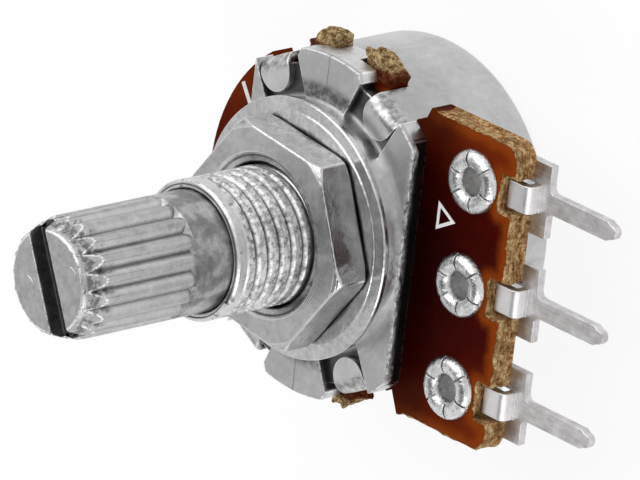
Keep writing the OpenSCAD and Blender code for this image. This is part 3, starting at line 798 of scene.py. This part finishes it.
def lumpy_ears(bm, low, high):
    """Smooths the board's ears and gives them lumps, which fade towards their foot."""
    ears = [v for v in bm.verts if abs(v.co.x) > EAR_FROM]
    raised = [v for v in ears if v.co.z > low.z + MERGE]
    for _ in range(EAR_SMOOTHING):
        bmesh.ops.smooth_vert(bm, verts=ears, factor=0.5, use_axis_x=True, use_axis_y=True)
        bmesh.ops.smooth_vert(bm, verts=raised, factor=0.5, use_axis_z=True)
    noise.seed_set(EAR_SEED)
    for v in ears:
        lump = noise.noise_vector(v.co / WAVES) + 0.6 * noise.noise_vector(v.co / FINE)
        share = min(1.0, (v.co.z - low.z) / EAR_FOOT)
        v.co += (lump - AXIS * EAR_SINK) * EAR_LUMP * share
        v.co.x = math.copysign(min(abs(v.co.x), high.x), v.co.x)
        v.co.z = max(min(v.co.z, high.z), low.z)


def torn_board(material):
    """The board: a smooth face, edges torn by the punch beside the pins, and ragged ears."""
    bm = node_copy("board")
    low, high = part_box("board")
    diced(bm, low, high)
    torn = bm.verts.layers.float.new("torn")
    holes = [sum(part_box(f"eyelet_{n}"), Vector()) / 2 for n in (1, 2, 3)]

    def is_torn(v):
        in_hole = any((v.co.xy - hole.xy).length < HOLE_CLEARANCE for hole in holes)
        return not in_hole and (v.co.y < TORN_FROM_Y or abs(v.co.x) > EAR_FROM)

    side = {v for f in bm.faces if upright(f) for v in f.verts if is_torn(v)}
    for v in side:
        v[torn] = 1.0
    brink = [v for v in side if v.co.z > high.z - MERGE]
    tree = kdtree.KDTree(len(brink))
    for k, v in enumerate(brink):
        tree.insert(v.co, k)
    tree.balance()
    moves = {}
    for v in bm.verts:
        if v.co.z < low.z + MERGE:
            continue
        on_face = v.co.z > high.z - MERGE
        away = tree.find(v.co)[2] if on_face else 0.0
        if v in side:
            rough = noise.noise(v.co / COARSE) + 0.5 * noise.noise(v.co / FINE)
            out = Vector()
            for f in v.link_faces:
                if upright(f):
                    out += f.normal
            moves[v] = -out.normalized() * TORN_DEPTH * max(0.0, TORN_MEAN + TORN_SWING * rough)
        elif on_face:
            v[torn] = max(0.0, 1 - away / TORN_HALO, float(abs(v.co.x) > EAR_FROM))
        if on_face and away < ROUNDED:
            wave = noise.noise(Vector((v.co.x, v.co.y, 0)) / WAVES) * 0.5 + 0.5
            sunk = TORN_DEPTH * (ROUNDED_LEAST + wave) * (1 - away / ROUNDED) ** 2
            moves[v] = moves.get(v, Vector()) - AXIS * sunk
    for v, move in moves.items():
        v.co += move
    lumpy_ears(bm, low, high)
    make_piece(bm, "torn_board", material, "housing", ["board"])


def printed_marks(material):
    """Two plain marks on the board: a hollow triangle by the pins, and a bar on the opposite side."""
    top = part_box("board")[1].z
    marks = bmesh.new()
    bmesh.ops.create_circle(marks, cap_ends=True, radius=TRIANGLE_RADIUS, segments=3)
    middle = marks.faces[:]
    bmesh.ops.inset_individual(marks, faces=middle, thickness=TRIANGLE_LINE, use_even_offset=True)
    bmesh.ops.delete(marks, geom=middle, context="FACES")
    turn = Matrix.Rotation(TRIANGLE_TURN, 3, "Z")
    bmesh.ops.rotate(marks, verts=marks.verts, cent=CENTRE, matrix=turn)
    bmesh.ops.translate(marks, verts=marks.verts, vec=TRIANGLE_AT)
    bar = bmesh.ops.create_grid(marks, x_segments=1, y_segments=1, size=0.5 * MM)["verts"]
    bmesh.ops.scale(marks, vec=BAR_SIZE, verts=bar)
    bmesh.ops.rotate(marks, verts=bar, cent=CENTRE, matrix=Matrix.Rotation(BAR_TURN, 3, "Z"))
    bmesh.ops.translate(marks, verts=bar, vec=BAR_AT)
    bmesh.ops.translate(marks, verts=marks.verts, vec=AXIS * (top - PRINT_SUNK))
    made = bmesh.ops.extrude_face_region(marks, geom=marks.faces[:])
    raised = [v for v in made["geom"] if isinstance(v, bmesh.types.BMVert)]
    bmesh.ops.translate(marks, verts=raised, vec=AXIS * PRINT_THICKNESS)
    bmesh.ops.recalc_face_normals(marks, faces=marks.faces)
    make_piece(marks, "printed_marks", material, "housing")


def assign(node, material):
    """Gives a CAD node its material."""
    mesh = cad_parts[node].data
    mesh.materials.clear()
    mesh.materials.append(material)


# Floor, room, lamps and camera


def floor(height):
    """A wide white floor that keeps the object's shadow."""
    mesh = bpy.data.meshes.new("floor")
    bm = bmesh.new()
    bmesh.ops.create_grid(bm, x_segments=1, y_segments=1, size=FLOOR_REACH)
    bmesh.ops.translate(bm, verts=bm.verts, vec=AXIS * height)
    bm.to_mesh(mesh)
    bm.free()
    plane = bpy.data.objects.new("floor", mesh)
    bpy.context.scene.collection.objects.link(plane)
    white = Finish("white_floor")
    white.set(FLOOR_WHITE, FLOOR_ROUGHNESS)
    rays = white.node("ShaderNodeLightPath").outputs
    camera_ray, glossy, through = (Field(white, rays[f"Is {kind} Ray"])
                                   for kind in ("Camera", "Glossy", "Transmission"))
    share = camera_ray.larger(glossy).larger(through) * FLOOR_GLOW
    glow = white.node("ShaderNodeEmission").outputs[0]
    blend = white.node("ShaderNodeMixShader", {}, {0: share, 1: white.shader.outputs[0], 2: glow})
    white.feed(white.tree.nodes["Material Output"].inputs["Surface"], blend.outputs[0])
    mesh.materials.append(white.material)


def studio():
    """A pale room with darker and lighter bands, and its soft lamps."""
    world = bpy.data.worlds.new("studio")
    bpy.context.scene.world = world
    world.use_nodes = True
    room = Nodes(world.node_tree)
    direction = room.node("ShaderNodeTexCoord").outputs["Generated"]
    height = room.node("ShaderNodeSeparateXYZ", {}, {0: direction}).outputs["Z"]
    bands = room.ramp(height, *((place, grey(level)) for place, level in ROOM))
    room.feed(world.node_tree.nodes["Background"].inputs["Color"], bands)
    for settings in LAMPS:
        lamp(*settings)


def lamp(name, place, size, watts):
    """A square soft light that points at the object."""
    light = bpy.data.lights.new(name, "AREA")
    light.size = size
    light.energy = watts
    made = bpy.data.objects.new(name, light)
    made.location = place
    made.rotation_euler = (-place).to_track_quat("-Z", "Y").to_euler()
    bpy.context.scene.collection.objects.link(made)


def camera():
    """The camera of the photograph, rolled so that +X is up in the picture."""
    data = bpy.data.cameras.new("camera")
    data.lens = LENS
    data.sensor_width = SENSOR_WIDTH
    made = bpy.data.objects.new("camera", data)
    back = (CAMERA_AT - LOOK_AT).normalized()
    right = IMAGE_UP.cross(back).normalized()
    up = back.cross(right)
    made.matrix_world = Matrix((right, up, back)).transposed().to_4x4()
    made.location = CAMERA_AT
    bpy.context.scene.collection.objects.link(made)
    bpy.context.scene.camera = made


# The scene
camera()
floor(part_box("case")[0].z)
studio()
bpy.context.scene.view_settings.view_transform = "Standard"

plain_tin = pin_tin()
roll_tin = eyelet_tin()
silver = silver_ink()

bushing_and_plate(cast_zinc())
knurled_shaft(shaft_zinc())
plain_washer(nickel_washer())
bevelled_nut(nickel_nut())
folded_case(drawn_steel())
for number in (1, 2, 3):
    rounded_copy(f"terminal_{number}", f"pin_{number}", plain_tin, PIN_EDGE)
    rounded_copy(f"eyelet_{number}", f"rolled_eyelet_{number}", roll_tin, EYELET_EDGE)
torn_board(phenolic_board())
printed_marks(white_print())
assign("retaining_ring", spring_steel())
assign("rotor", moulded_brown())
assign("wiper", spring_brass())
assign("resistive_track", carbon_ink())
for node in ("collector", "end_contact_1", "end_contact_3"):
    assign(node, silver)
